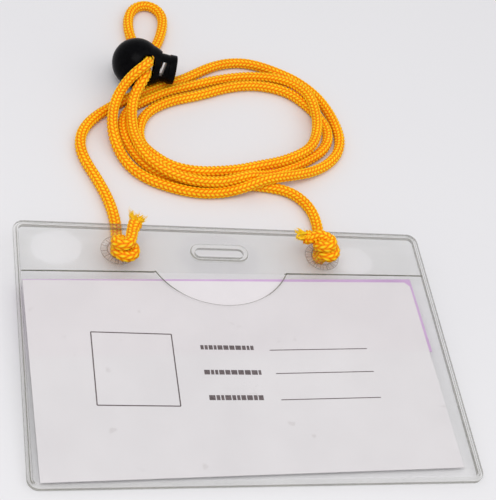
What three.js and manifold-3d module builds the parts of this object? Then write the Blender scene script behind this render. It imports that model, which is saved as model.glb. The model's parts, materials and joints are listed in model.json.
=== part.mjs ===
// Lanyard badge holder: a clear vinyl card pocket that hangs on a braided cord with a ball cord lock.
// Millimetres, +Z up. The origin is under the middle of the pocket, on the surface it lies on.
// The pocket lies on its back with its bottom edge on the surface and its header on the cord's two ends.

import * as THREE from 'three';
import { mergeVertices } from 'three/addons/utils/BufferGeometryUtils.js';
import Module from 'manifold-3d';

const wasm = await Module();
wasm.setup();

// ---- Driving dimensions ------------------------------------------------------------------------

// Pocket: outline, the header's lift in degrees, and the welded border's width.
const pocket = { width: 118, height: 82, corner: 3, lift: 2.7, weldWidth: 1.5 };

// Heights of the layers over the back sheet's underside, as [low, high].
const layers = {
  backSheet: [0, 0.25],
  headerSheet: [0.4, 0.65],
  slip: [0.8, 0.95],
  card: [1.1, 1.35],
  frontSheet: [1.5, 1.75],
  weld: [0.4, 1.8],
  slotRim: [-0.05, 1.15],
};

// Gap between pieces that touch.
const contactGap = 0.15;

// Mouth of the pocket: its height at the left and right edges, and the thumb notch's circle.
const mouth = { left: 64.5, right: 66.4, headerGap: 0.8 };
const notch = { x: -2.7, y: 75.5, radius: 21.2 };

// Header: the strap slot and the two cord eyelets.
const slot = { x: -2, y: 73.2, width: 14, height: 3, rim: 1.4 };
const eyelets = { left: [-30.6, 73], right: [28.2, 73] };
const eyelet = {
  boreRadius: 2.2,
  tubeRadius: 2.75,
  tubeStandsOut: 0.55,
  washerRadius: 4.9,
  ribs: 14,
  ribSetBack: 0.2,
  flangeRadius: 4.3,
};

// Paper insert: the printed card with one clipped corner, and the half-height slip behind it.
const card = { x: -1.6, y: 32.9, width: 110, height: 60, turn: 1.3, clip: 1.4 };
const slip = { x: -1.5, y: 51.4, width: 110.8, height: 24.9, turn: 1.8 };

// Cord: its diameter, the loose coil's height, and the gap where two of its solids meet.
const cord = { diameter: 3, sides: 8, stepLength: 6.5, bightStepLength: 3.6, meetGap: 0.4, coilHeight: 5.6 };

// Cord lock: a ball barrel on the cord's two strands, with a sprung plunger.
const lock = {
  centre: [-18, 106.4, 7.65],
  turn: -10.8,
  pitch: -33,
  ballRadius: 7.65,
  collarRadius: 5.35,
  mouthAt: 6.3,
  boreRadius: 4.65,
  boreEnd: -3.4,
  springBoreRadius: 2.6,
  springBoreEnd: -6,
  holeAt: 3.1,
  holeWidth: 3.6,
  holeHeight: 7,
  strandSpacing: 3.2,
};
const plunger = {
  radius: 4.4,
  neckRadius: 4.1,
  innerEnd: 0,
  neckAt: 9.3,
  flangeAt: 9.9,
  outerEnd: 12.2,
  flangeRadius: 4.4,
  edge: 0.5,
  window: [1.3, 8.7],
  windowHeight: 6.8,
  slotHeight: 4.4,
  taper: [6, 7.2],
};
const spring = { wireRadius: 0.25, radius: 1.9, start: -5.6, end: -0.4, turns: 3.5, stepsPerTurn: 14 };

// Distances along the lock's cross hole: where the strands meet the bight, and where they leave behind.
const holeFront = 9.2;
const holeBack = 8.2;

// ---- The cord's route, as points chosen along its middle -----------------------------------------

const cordRadius = cord.diameter / 2;

const leftLeadRoute = [
  [-30.6, 33.9, 1.5], [-30, 38.6, 1.5], [-29.6, 44.2, 1.5], [-30.8, 52.9, 1.5], [-33.5, 61.4, 1.5],
  [-36.9, 69.7, 1.5], [-37.8, 75.2, 1.5], [-36.9, 80, 1.5], [-34.3, 84.6, 1.5], [-31, 88.4, 1.5],
];
const rightLeadRoute = [
  [28.5, 33.9, 1.5], [29.4, 37.6, 1.5], [30.3, 42.6, 1.5], [30.8, 49.2, 1.5], [29.8, 54, 1.5],
  [27.6, 57.5, 1.5], [24.8, 60.6, 1.5],
];
const strandARise = [
  [-26.2, 90.6, 4.5], [-25.2, 93.2, 5], [-24, 95.4, 6], [-22.8, 96.1, 8.1], [-21.7, 96.1, 10.7],
  [-20.3, 96.3, 12.7], [-19.2, 96.5, 14], [-17.8, 97.1, 14.9],
];
const strandBRise = [
  [-20.6, 92.2, 5.1], [-20, 93.8, 6.1], [-19.1, 94.8, 7.4], [-18.3, 95.1, 9.3], [-17.5, 95.4, 10.7],
];
const bightLoop = [
  [-15.2, 116.6, 3.3], [-16.2, 120.6, 1.8], [-16.9, 125, 1.5], [-17.4, 130.4, 1.5], [-16.7, 135, 1.5],
  [-14.8, 139.4, 1.5], [-12.1, 142.3, 1.5], [-9.5, 143, 1.5], [-7.3, 141.9, 1.5], [-5.6, 139, 1.5],
  [-5.4, 134.9, 1.5], [-6.4, 129.7, 1.5], [-8.1, 123.6, 1.5], [-10.2, 119.7, 1.5], [-12.3, 116.3, 1.5],
];
const coilOutside = [
  [8, 57.5], [16, 60.3], [25, 63], [32, 65.7], [37.8, 69], [42.3, 72.9], [45.6, 77.4], [47.3, 82],
  [47.8, 86.5], [47, 93], [45.8, 99.5], [42.5, 105.5], [38, 110.3], [33, 113.8], [25, 117.8],
  [19, 118.9], [14, 118.2], [8, 115.5], [3.4, 110.8], [0.6, 105.5], [-1.8, 100.2], [-6, 97.6],
  [-11.5, 96.2], [-17.5, 92.6], [-20.5, 90.2], [-24.5, 89.2], [-28.3, 88], [-29.1, 83], [-28.7, 77], [-27.4, 72],
  [-25.4, 67.4], [-22.5, 63], [-17, 59.2], [-8, 56.5], [1, 55.9],
];
const coilInside = [
  [37.4, 92.6], [36.9, 88.3], [35.5, 83], [33.4, 78], [29.8, 74.8], [25.3, 72.2], [20.2, 69.8],
  [15.8, 68], [9, 66.9], [0, 65.5], [-8.4, 65.8], [-12, 67.1], [-14.4, 69.6], [-16.6, 72.6],
  [-17.8, 77], [-17.9, 83], [-16.3, 87], [-13.8, 90.8], [-8.6, 94.4], [-0.3, 97.3], [6, 99.7],
  [11.2, 102.6], [17.7, 104.6], [21, 105.2], [25, 104.9], [31.3, 102.2], [34.3, 99], [36.6, 95.6],
];

// Knots on the header: the middle, size and turn of each lump, over its eyelet, and its free tail.
const knotFoot = 1.75;
const knots = {
  left: {
    lumps: [[-29.6, 70.3, 4.3, 4.2, 3.6, 2.5, 10], [-28.1, 72.3, 5.2, 3, 3.6, 2.6, -35]],
    tail: [[-26.6, 76.1, 7.1], [-25.8, 78.1, 7.9], [-25.2, 80.4, 8.5]],
  },
  right: {
    lumps: [[28.6, 74.2, 4.2, 4, 3.7, 2.4, -15], [28, 76.4, 5.2, 3.3, 3.2, 2.5, 40]],
    tail: [[23.3, 77.1, 5.6], [21.6, 77.9, 5.6], [19.7, 78.7, 5.6]],
  },
};

// ---- Materials -----------------------------------------------------------------------------------

const material = (color, roughness, extra = {}) =>
  new THREE.MeshStandardMaterial({ color, roughness, metalness: 0, ...extra });
const clearVinyl = material('#dfe3df', 0.15, { transparent: true, opacity: 0.35 });
const clearPlastic = material('#e9ecec', 0.2, { transparent: true, opacity: 0.5 });
const paper = material('#f4f0f1', 0.85);
const purplePaper = material('#b98fd0', 0.8);
const orangeCord = material('#ffa500', 0.7);
const blackPlastic = material('#0b0b0d', 0.25);
const springSteel = material('#b9bcc0', 0.3, { metalness: 1 });

// ---- Shape helpers -------------------------------------------------------------------------------

const radians = THREE.MathUtils.degToRad;
const named = (name, geometry, look) => {
  const mesh = new THREE.Mesh(geometry, look);
  mesh.name = name;
  return mesh;
};

// A layer is a flat outline raised from its low height to its high height.
function layer(shape, [low, high], curveSegments = 10) {
  const geometry = new THREE.ExtrudeGeometry(shape, { depth: high - low, bevelEnabled: false, curveSegments });
  return geometry.translate(0, 0, low);
}

function roundedRectangle(Kind, x0, y0, x1, y1, radius) {
  const outline = new Kind();
  outline.moveTo(x0 + radius, y0);
  outline.lineTo(x1 - radius, y0);
  outline.absarc(x1 - radius, y0 + radius, radius, -Math.PI / 2, 0);
  outline.lineTo(x1, y1 - radius);
  outline.absarc(x1 - radius, y1 - radius, radius, 0, Math.PI / 2);
  outline.lineTo(x0 + radius, y1);
  outline.absarc(x0 + radius, y1 - radius, radius, Math.PI / 2, Math.PI);
  outline.lineTo(x0, y0 + radius);
  outline.absarc(x0 + radius, y0 + radius, radius, Math.PI, 1.5 * Math.PI);
  return outline;
}

function circle(Kind, x, y, radius) {
  const outline = new Kind();
  outline.absarc(x, y, radius, 0, 2 * Math.PI);
  return outline;
}

// The slot's outline grown by a margin: straight sides with round ends.
function slotOutline(Kind, margin) {
  const halfWidth = slot.width / 2 + margin;
  const halfHeight = slot.height / 2 + margin;
  return roundedRectangle(Kind, slot.x - halfWidth, slot.y - halfHeight, slot.x + halfWidth,
    slot.y + halfHeight, halfHeight);
}

function headerHoles() {
  const radius = eyelet.tubeRadius + contactGap;
  const atEyelets = Object.values(eyelets).map(([x, y]) => circle(THREE.Path, x, y, radius));
  return [...atEyelets, slotOutline(THREE.Path, slot.rim + contactGap)];
}

function solidOf(geometry) {
  const bare = geometry.clone();
  bare.deleteAttribute('normal');
  bare.deleteAttribute('uv');
  const merged = mergeVertices(bare);
  const vertProperties = new Float32Array(merged.attributes.position.array);
  const triVerts = new Uint32Array(merged.index.array);
  return new wasm.Manifold(new wasm.Mesh({ numProp: 3, vertProperties, triVerts }));
}

function geometryOf(solid) {
  const { vertProperties, triVerts } = solid.getMesh();
  const geometry = new THREE.BufferGeometry();
  geometry.setAttribute('position', new THREE.BufferAttribute(vertProperties, 3));
  geometry.setIndex(new THREE.BufferAttribute(triVerts, 1));
  return geometry.toNonIndexed();
}

// A round bar of the given radius along a smooth curve.
function barAlong(curve, radius, steps) {
  const corners = [];
  for (let side = 0; side < cord.sides; side += 1) {
    const angle = (2 * Math.PI * side) / cord.sides;
    corners.push(new THREE.Vector2(radius * Math.cos(angle), radius * Math.sin(angle)));
  }
  return new THREE.ExtrudeGeometry(new THREE.Shape(corners), { steps, extrudePath: curve });
}

function cordTube(points, stepLength = cord.stepLength) {
  const curve = new THREE.CatmullRomCurve3(points, false, 'centripetal');
  return barAlong(curve, cordRadius, Math.ceil(curve.getLength() / stepLength));
}

const vectors = (points) => points.map((point) => new THREE.Vector3(...point));

// ---- Pocket --------------------------------------------------------------------------------------

const halfWidth = pocket.width / 2;
const insideEdge = pocket.weldWidth + contactGap;
const mouthHeightAt = (x) =>
  THREE.MathUtils.mapLinear(x, -halfWidth, halfWidth, mouth.left, mouth.right);

function backSheet() {
  const outline = roundedRectangle(THREE.Shape, -halfWidth, 0, halfWidth, pocket.height, pocket.corner);
  outline.holes = headerHoles();
  return named('back_sheet', layer(outline, layers.backSheet), clearVinyl);
}

// The short front ply over the header, from the top edge down to just above the pocket's mouth.
function headerSheet() {
  const side = halfWidth - insideEdge;
  const top = pocket.height - insideEdge;
  const radius = pocket.corner - pocket.weldWidth;
  const outline = new THREE.Shape();
  outline.moveTo(-side, mouthHeightAt(-side) + mouth.headerGap);
  outline.lineTo(side, mouthHeightAt(side) + mouth.headerGap);
  outline.lineTo(side, top - radius);
  outline.absarc(side - radius, top - radius, radius, 0, Math.PI / 2);
  outline.lineTo(-side + radius, top);
  outline.absarc(-side + radius, top - radius, radius, Math.PI / 2, Math.PI);
  outline.holes = headerHoles();
  return named('header_sheet', layer(outline, layers.headerSheet), clearVinyl);
}

// The front ply of the pocket, open at the mouth, with the thumb notch cut into its top edge.
function frontSheet() {
  const side = halfWidth - insideEdge;
  const radius = pocket.corner - pocket.weldWidth;
  const drop = notch.y - mouthHeightAt(notch.x);
  const reach = Math.acos(drop / notch.radius);
  const outline = new THREE.Shape();
  outline.moveTo(-side, mouthHeightAt(-side));
  outline.lineTo(-side, insideEdge + radius);
  outline.absarc(-side + radius, insideEdge + radius, radius, Math.PI, 1.5 * Math.PI);
  outline.lineTo(side - radius, insideEdge);
  outline.absarc(side - radius, insideEdge + radius, radius, -Math.PI / 2, 0);
  outline.lineTo(side, mouthHeightAt(side));
  outline.absarc(notch.x, notch.y, notch.radius, -Math.PI / 2 + reach, -Math.PI / 2 - reach, true);
  outline.closePath();
  return named('front_sheet', layer(outline, layers.frontSheet, 24), clearVinyl);
}

function borderWeld() {
  const inset = pocket.weldWidth;
  const outline = roundedRectangle(THREE.Shape, -halfWidth, 0, halfWidth, pocket.height, pocket.corner);
  outline.holes = [roundedRectangle(THREE.Path, -halfWidth + inset, inset, halfWidth - inset,
    pocket.height - inset, pocket.corner - inset)];
  return named('border_weld', layer(outline, layers.weld), clearVinyl);
}

function slotRim() {
  const outline = slotOutline(THREE.Shape, slot.rim);
  outline.holes = [slotOutline(THREE.Path, 0)];
  return named('slot_rim', layer(outline, layers.slotRim), clearVinyl);
}

// The eyelet's flange lies under the back sheet, and its tube comes up through both header plies.
function eyeletBody(name, [x, y]) {
  const flange = [-0.4, -0.15];
  const tubeTop = layers.headerSheet[1] + eyelet.tubeStandsOut;
  const profile = [
    [eyelet.boreRadius, flange[0]], [eyelet.flangeRadius, flange[0]], [eyelet.flangeRadius, flange[1]],
    [eyelet.tubeRadius, flange[1]], [eyelet.tubeRadius, tubeTop], [eyelet.boreRadius, tubeTop],
    [eyelet.boreRadius, flange[0]],
  ];
  const geometry = new THREE.LatheGeometry(profile.map(([r, z]) => new THREE.Vector2(r, z)), 32);
  return named(name, geometry.rotateX(Math.PI / 2).translate(x, y, 0), clearPlastic);
}

// The ribbed washer that the eyelet's tube snaps into, on the header's front.
function eyeletWasher(name, [x, y]) {
  const low = layers.headerSheet[1] + contactGap;
  const high = low + 0.3;
  const ribHeight = 0.2;
  const ribOverlap = 0.05;
  const inner = eyelet.tubeRadius + contactGap;
  const ring = circle(THREE.Shape, 0, 0, eyelet.washerRadius);
  ring.holes = [circle(THREE.Path, 0, 0, inner)];
  let washer = solidOf(layer(ring, [low, high], 32));
  const ribLength = eyelet.washerRadius - inner - 2 * eyelet.ribSetBack;
  const ribWidth = 0.5;
  for (let rib = 0; rib < eyelet.ribs; rib += 1) {
    const bar = new THREE.BoxGeometry(ribLength, ribWidth, ribHeight + ribOverlap);
    bar.translate((inner + eyelet.washerRadius) / 2, 0, high + (ribHeight - ribOverlap) / 2);
    bar.rotateZ((2 * Math.PI * rib) / eyelet.ribs);
    washer = washer.add(solidOf(bar));
  }
  return named(name, geometryOf(washer).translate(x, y, 0), clearPlastic);
}

// ---- Paper insert --------------------------------------------------------------------------------

function insertCard() {
  const right = card.width / 2;
  const top = card.height / 2;
  const corners = [
    [-right, -top], [right, -top], [right, top - card.clip], [right - card.clip, top], [-right, top],
  ];
  const outline = new THREE.Shape(corners.map(([x, y]) => new THREE.Vector2(x, y)));
  const geometry = layer(outline, layers.card).rotateZ(radians(card.turn));
  return named('insert_card', geometry.translate(card.x, card.y, 0), paper);
}

function backingSlip() {
  const geometry = new THREE.BoxGeometry(slip.width, slip.height, layers.slip[1] - layers.slip[0]);
  geometry.rotateZ(radians(slip.turn)).translate(slip.x, slip.y, (layers.slip[0] + layers.slip[1]) / 2);
  return named('backing_slip', geometry, purplePaper);
}

// ---- Cord lock -----------------------------------------------------------------------------------

// A turned solid about the lock's own X axis, from a profile of [radius, distance along the axis].
function turned(profile, segments = 36) {
  const points = profile.map(([radius, along]) => new THREE.Vector2(radius, along));
  return new THREE.LatheGeometry(points, segments).rotateZ(-Math.PI / 2);
}

// A cutter through the lock, along its cross hole.
function crossCutter(outline) {
  const length = 2 * lock.ballRadius + 2;
  const geometry = layer(outline, [-length / 2, length / 2], 6);
  return solidOf(geometry.rotateX(Math.PI / 2));
}

// The barrel's cross hole is a long rounded slot for the two strands.
function holeOutline() {
  const from = lock.holeAt - lock.holeWidth / 2;
  const to = lock.holeAt + lock.holeWidth / 2;
  return roundedRectangle(THREE.Shape, from, -lock.holeHeight / 2, to, lock.holeHeight / 2, lock.holeWidth / 2);
}

// The plunger's window is tall where the strands pass and narrows towards the flange.
function windowOutline() {
  const [from, to] = plunger.window;
  const [taperFrom, taperTo] = plunger.taper;
  const tall = plunger.windowHeight / 2;
  const low = plunger.slotHeight / 2;
  const lower = [[from, -tall], [taperFrom, -tall], [taperTo, -low], [to, -low]];
  const upper = lower.map(([x, y]) => [x, -y]).reverse();
  return new THREE.Shape([...lower, ...upper].map(([x, y]) => new THREE.Vector2(x, y)));
}

function lockBarrel() {
  const pole = Math.PI;
  const collarAngle = Math.asin(lock.collarRadius / lock.ballRadius);
  const steps = 18;
  const profile = [];
  for (let step = 0; step <= steps; step += 1) {
    const angle = THREE.MathUtils.lerp(pole, collarAngle, step / steps);
    profile.push([lock.ballRadius * Math.sin(angle), lock.ballRadius * Math.cos(angle)]);
  }
  profile[0] = [0, -lock.ballRadius];
  const lip = 0.25;
  profile.push([lock.collarRadius, lock.mouthAt - lip], [lock.collarRadius - lip, lock.mouthAt]);
  profile.push([lock.boreRadius, lock.mouthAt], [lock.boreRadius, lock.boreEnd]);
  profile.push([lock.springBoreRadius, lock.boreEnd], [lock.springBoreRadius, lock.springBoreEnd]);
  profile.push([0, lock.springBoreEnd]);
  const barrel = solidOf(turned(profile)).subtract(crossCutter(holeOutline()));
  return named('lock_barrel', geometryOf(barrel), blackPlastic);
}

function lockPlunger() {
  const profile = [
    [0, plunger.innerEnd], [plunger.radius - plunger.edge, plunger.innerEnd],
    [plunger.radius, plunger.innerEnd + plunger.edge], [plunger.radius, lock.mouthAt],
    [plunger.neckRadius, plunger.neckAt], [plunger.flangeRadius, plunger.flangeAt],
    [plunger.flangeRadius, plunger.outerEnd - plunger.edge],
    [plunger.flangeRadius - plunger.edge, plunger.outerEnd], [0, plunger.outerEnd],
  ];
  const window = crossCutter(windowOutline());
  return named('lock_plunger', geometryOf(solidOf(turned(profile)).subtract(window)), blackPlastic);
}

function lockSpring() {
  const count = spring.turns * spring.stepsPerTurn;
  const points = [];
  for (let step = 0; step <= count; step += 1) {
    const angle = (2 * Math.PI * step) / spring.stepsPerTurn;
    const along = THREE.MathUtils.lerp(spring.start, spring.end, step / count);
    points.push(new THREE.Vector3(along, spring.radius * Math.cos(angle), spring.radius * Math.sin(angle)));
  }
  const curve = new THREE.CatmullRomCurve3(points, false, 'centripetal');
  return named('lock_spring', barAlong(curve, spring.wireRadius, count), springSteel);
}

// ---- Cord ----------------------------------------------------------------------------------------

const lockFrame = new THREE.Matrix4().compose(
  new THREE.Vector3(...lock.centre),
  new THREE.Quaternion().setFromEuler(new THREE.Euler(radians(lock.pitch), 0, radians(lock.turn), 'ZYX')),
  new THREE.Vector3(1, 1, 1),
);

// A point in the lock's cross hole: towards the front is positive, and side is +1 for strand A, -1 for B.
const inHole = (towardsFront, side) =>
  new THREE.Vector3(lock.holeAt, -towardsFront, (side * lock.strandSpacing) / 2).applyMatrix4(lockFrame);

function cordStrand(name, rise, side) {
  const straight = 1.3;
  const end = holeFront + cord.meetGap / 2;
  const points = [...vectors(rise), inHole(end + straight, side), inHole(end, side)];
  return named(name, cordTube(points, cord.bightStepLength), orangeCord);
}

// The bight runs through the lock on strand A's side, round its loop and back on strand B's side.
function cordBight() {
  const front = holeFront - cord.meetGap / 2;
  const throughA = [front, front / 2, 0, -holeBack / 2, -holeBack].map((along) => inHole(along, 1));
  const throughB = [-holeBack, -holeBack / 2, 0, front / 2, front].map((along) => inHole(along, -1));
  const points = [...throughA, ...vectors(bightLoop), ...throughB];
  return named('cord_bight', cordTube(points, cord.bightStepLength), orangeCord);
}

function cordCoil() {
  const closed = (Kind, points, count) => {
    const curve = new THREE.CatmullRomCurve3(points.map(([x, y]) => new THREE.Vector3(x, y, 0)), true);
    return new Kind(curve.getPoints(count).slice(0, -1).map(({ x, y }) => new THREE.Vector2(x, y)));
  };
  const pointsPerOutline = 90;
  const outline = closed(THREE.Shape, coilOutside, pointsPerOutline);
  outline.holes = [closed(THREE.Path, coilInside, pointsPerOutline)];
  return named('cord_coil', layer(outline, [0, cord.coilHeight]), orangeCord);
}

// A knot's lumps over the eyelet, with the shank that goes down through it to the cord's lead.
function cordKnot(name, { lumps }, [x, y]) {
  const shankRadius = 1.45;
  const shankFoot = -2.6;
  const shankTop = 4;
  const shank = new THREE.CylinderGeometry(shankRadius, shankRadius, shankTop - shankFoot, 16);
  shank.rotateX(Math.PI / 2).translate(x, y, (shankTop + shankFoot) / 2);
  let knot = solidOf(shank);
  for (const [lumpX, lumpY, lumpZ, sizeX, sizeY, sizeZ, turn] of lumps) {
    const lump = new THREE.SphereGeometry(1, 16, 12).scale(sizeX, sizeY, sizeZ);
    lump.rotateZ(radians(turn)).translate(lumpX, lumpY, Math.max(lumpZ, knotFoot + sizeZ));
    knot = knot.add(solidOf(lump));
  }
  return named(name, geometryOf(knot), orangeCord);
}

// ---- Assembly ------------------------------------------------------------------------------------

// The pocket leans back about its bottom edge, and its plan is centred on the origin.
function pocketGroup() {
  const lift = radians(pocket.lift);
  const near = -layers.weld[1] * Math.sin(lift);
  const far = pocket.height * Math.cos(lift);
  const group = new THREE.Group();
  group.rotation.x = lift;
  group.position.y = -(near + far) / 2;
  group.add(backSheet(), headerSheet(), frontSheet(), borderWeld(), slotRim());
  group.add(insertCard(), backingSlip());
  for (const side of ['left', 'right']) {
    group.add(eyeletBody(`eyelet_${side}`, eyelets[side]));
    group.add(eyeletWasher(`eyelet_washer_${side}`, eyelets[side]));
    group.add(cordKnot(`knot_${side}`, knots[side], eyelets[side]));
    group.add(named(`tail_${side}`, cordTube(vectors(knots[side].tail)), orangeCord));
  }
  return group;
}

function lockGroup() {
  const group = new THREE.Group();
  group.position.set(...lock.centre);
  group.rotation.set(radians(lock.pitch), 0, radians(lock.turn), 'ZYX');
  group.add(lockBarrel(), lockPlunger(), lockSpring());
  return group;
}

const holder = new THREE.Group();
holder.add(pocketGroup(), lockGroup(), cordCoil(), cordBight());
holder.add(named('cord_left_lead', cordTube(vectors(leftLeadRoute)), orangeCord));
holder.add(named('cord_right_lead', cordTube(vectors(rightLeadRoute)), orangeCord));
holder.add(cordStrand('cord_strand_a', strandARise, 1), cordStrand('cord_strand_b', strandBRise, -1));

export default holder;
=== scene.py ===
import json
import math

import bmesh
import bpy
import numpy as np
from mathutils import Matrix, Vector


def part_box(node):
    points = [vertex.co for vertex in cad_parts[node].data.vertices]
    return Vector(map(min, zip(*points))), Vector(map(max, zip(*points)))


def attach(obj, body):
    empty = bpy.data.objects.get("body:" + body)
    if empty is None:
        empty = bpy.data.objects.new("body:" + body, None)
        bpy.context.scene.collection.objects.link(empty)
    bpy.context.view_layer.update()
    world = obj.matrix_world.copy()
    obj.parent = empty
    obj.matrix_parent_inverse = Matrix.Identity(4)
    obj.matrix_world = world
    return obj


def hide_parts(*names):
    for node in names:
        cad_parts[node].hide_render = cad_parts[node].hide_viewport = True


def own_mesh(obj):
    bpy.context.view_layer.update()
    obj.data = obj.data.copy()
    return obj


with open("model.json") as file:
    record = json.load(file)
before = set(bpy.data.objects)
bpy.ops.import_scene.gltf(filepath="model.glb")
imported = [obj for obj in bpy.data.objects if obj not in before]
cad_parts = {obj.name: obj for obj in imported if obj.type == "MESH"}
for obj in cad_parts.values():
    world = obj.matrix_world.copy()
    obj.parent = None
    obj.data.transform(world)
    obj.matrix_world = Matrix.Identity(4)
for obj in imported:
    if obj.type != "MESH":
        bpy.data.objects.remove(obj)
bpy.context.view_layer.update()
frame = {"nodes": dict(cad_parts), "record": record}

MM = 0.001
SEED = 7
rng = np.random.default_rng(SEED)

# ---- Places, from the frame ----

JOINTS = {joint["name"]: joint for joint in frame["record"]["behaviour"]["joints"]}
SLIDE_AXIS = JOINTS["insert_slide"]["axis"]
POCKET_TILT = math.atan2(SLIDE_AXIS[2], SLIDE_AXIS[1])
POCKET_LOW, POCKET_HIGH = (np.array(corner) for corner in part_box("border_weld"))
POCKET_W = POCKET_HIGH[0] - POCKET_LOW[0]
BACK_LOW, BACK_HIGH = (np.array(corner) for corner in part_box("back_sheet"))
BACK_T = 0.25 * MM
POCKET_H = (BACK_HIGH[1] - BACK_LOW[1] - BACK_T * math.sin(POCKET_TILT)) / math.cos(POCKET_TILT)
POCKET_FOOT_Y = BACK_LOW[1] + BACK_T * math.sin(POCKET_TILT)

LOCK_AT = np.array(JOINTS["lock_slide"]["pos_m"])
HOLE_AXIS = np.array(JOINTS["lock_slide"]["axis"])
PRESS_AXIS = np.array(JOINTS["plunger_press"]["axis"])
LOCK_X = -PRESS_AXIS
LOCK_Y = -HOLE_AXIS
LOCK_Z = np.cross(LOCK_X, LOCK_Y)


def on_pocket(points):
    """Points on the leaning pocket: x across, y up from its bottom edge, z over its underside."""
    points = np.atleast_2d(np.asarray(points, dtype=float))
    cos, sin = math.cos(POCKET_TILT), math.sin(POCKET_TILT)
    x = points[:, 0]
    y = POCKET_FOOT_Y + points[:, 1] * cos - points[:, 2] * sin
    z = points[:, 1] * sin + points[:, 2] * cos
    return np.stack([x, y, z], axis=1)


def in_lock(points):
    """Points in the lock's own frame: x along the plunger, y back through the hole, z across it."""
    points = np.atleast_2d(np.asarray(points, dtype=float))
    return LOCK_AT + points @ np.array([LOCK_X, LOCK_Y, LOCK_Z])


def placed(name, data):
    """A new object in the scene."""
    made = bpy.data.objects.new(name, data)
    bpy.context.scene.collection.objects.link(made)
    return made


# ---- Camera ----

CAMERA_AT = np.array([-98.573, -207.032, 276.017]) * MM
AZIMUTH, ELEVATION, ROLL = math.radians(23.6), math.radians(45.98), math.radians(19.334)
LENS, SENSOR_WIDTH = 96.58, 36


def make_camera():
    data = bpy.data.cameras.new("camera")
    data.lens = LENS
    data.sensor_width = SENSOR_WIDTH
    data.clip_start = 0.01
    camera = placed("camera", data)
    turn = Matrix.Rotation(-AZIMUTH, 4, "Z")
    tip = Matrix.Rotation(math.pi / 2 - ELEVATION, 4, "X")
    roll = Matrix.Rotation(ROLL, 4, "Z")
    camera.matrix_world = Matrix.Translation(CAMERA_AT.tolist()) @ turn @ tip @ roll
    bpy.context.scene.camera = camera


make_camera()

# ---- Mesh helpers ----


def new_piece(name, vertices, faces, material, smooth=True):
    mesh = bpy.data.meshes.new(name)
    mesh.from_pydata(np.asarray(vertices).tolist(), [], [list(face) for face in faces])
    mesh.validate()
    if smooth:
        mesh.shade_smooth()
    mesh.materials.append(material)
    return placed(name, mesh)


def as_object(name, mesh, material=None):
    """An object from a bmesh, which this frees."""
    data = bpy.data.meshes.new(name)
    mesh.to_mesh(data)
    mesh.free()
    if material:
        data.materials.append(material)
    return placed(name, data)


def grid_faces(rows, columns, close_rows=False, close_columns=True):
    """Quads between neighbouring rows and columns of a grid of points stored row by row."""
    row = np.arange(rows if close_rows else rows - 1)
    column = np.arange(columns if close_columns else columns - 1)
    a = row[:, None] * columns + column
    b = row[:, None] * columns + (column + 1) % columns
    c = ((row[:, None] + 1) % rows) * columns + (column + 1) % columns
    d = ((row[:, None] + 1) % rows) * columns + column
    return np.stack([a, b, c, d], axis=-1).reshape(-1, 4)


SPAN_SAMPLES = 24


def spline(points, spacing):
    """A centripetal Catmull-Rom curve through the points, sampled evenly."""
    points = np.asarray(points, dtype=float)
    before, after = 2 * points[0] - points[1], 2 * points[-1] - points[-2]
    guides = np.concatenate([[before], points, [after]])
    samples = []
    for p0, p1, p2, p3 in zip(guides, guides[1:], guides[2:], guides[3:]):
        t0 = 0.0
        t1 = t0 + np.linalg.norm(p1 - p0) ** 0.5
        t2 = t1 + np.linalg.norm(p2 - p1) ** 0.5
        t3 = t2 + np.linalg.norm(p3 - p2) ** 0.5
        t = np.linspace(t1, t2, SPAN_SAMPLES, endpoint=False)[:, None]
        a1 = (t1 - t) / (t1 - t0) * p0 + (t - t0) / (t1 - t0) * p1
        a2 = (t2 - t) / (t2 - t1) * p1 + (t - t1) / (t2 - t1) * p2
        a3 = (t3 - t) / (t3 - t2) * p2 + (t - t2) / (t3 - t2) * p3
        b1 = (t2 - t) / (t2 - t0) * a1 + (t - t0) / (t2 - t0) * a2
        b2 = (t3 - t) / (t3 - t1) * a2 + (t - t1) / (t3 - t1) * a3
        samples.append((t2 - t) / (t2 - t1) * b1 + (t - t1) / (t2 - t1) * b2)
    samples.append(points[-1:])
    return evenly(np.concatenate(samples), spacing)


def evenly(points, spacing):
    """The same line with its points about this far apart."""
    along = arc_lengths(points)
    count = max(2, int(round(along[-1] / spacing)) + 1)
    at = np.linspace(0, along[-1], count)
    return np.stack([np.interp(at, along, points[:, axis]) for axis in range(3)], axis=1)


def arc_lengths(points):
    """How far along the line each point is."""
    return np.concatenate([[0], np.cumsum(np.linalg.norm(np.diff(points, axis=0), axis=1))])


# ---- The cord's path ----

CORD_VISUAL_R = 1.7 * MM  # out to the tops of the stitches
CORD_CONTACT = 3.2 * MM  # between the middles of two strands that touch
CORD_REST = 1.62 * MM  # the middle of a strand that lies on the floor
ROUTE_STEP = 1 * MM
SMOOTHING_PASSES = 6

# The route's points, in millimetres. A point with no height of its own is at LOW, the middle of a
# strand on the surface. HIGH is the middle of one lying on two others.
LOW, HIGH = 1.5, 4.1

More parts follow.
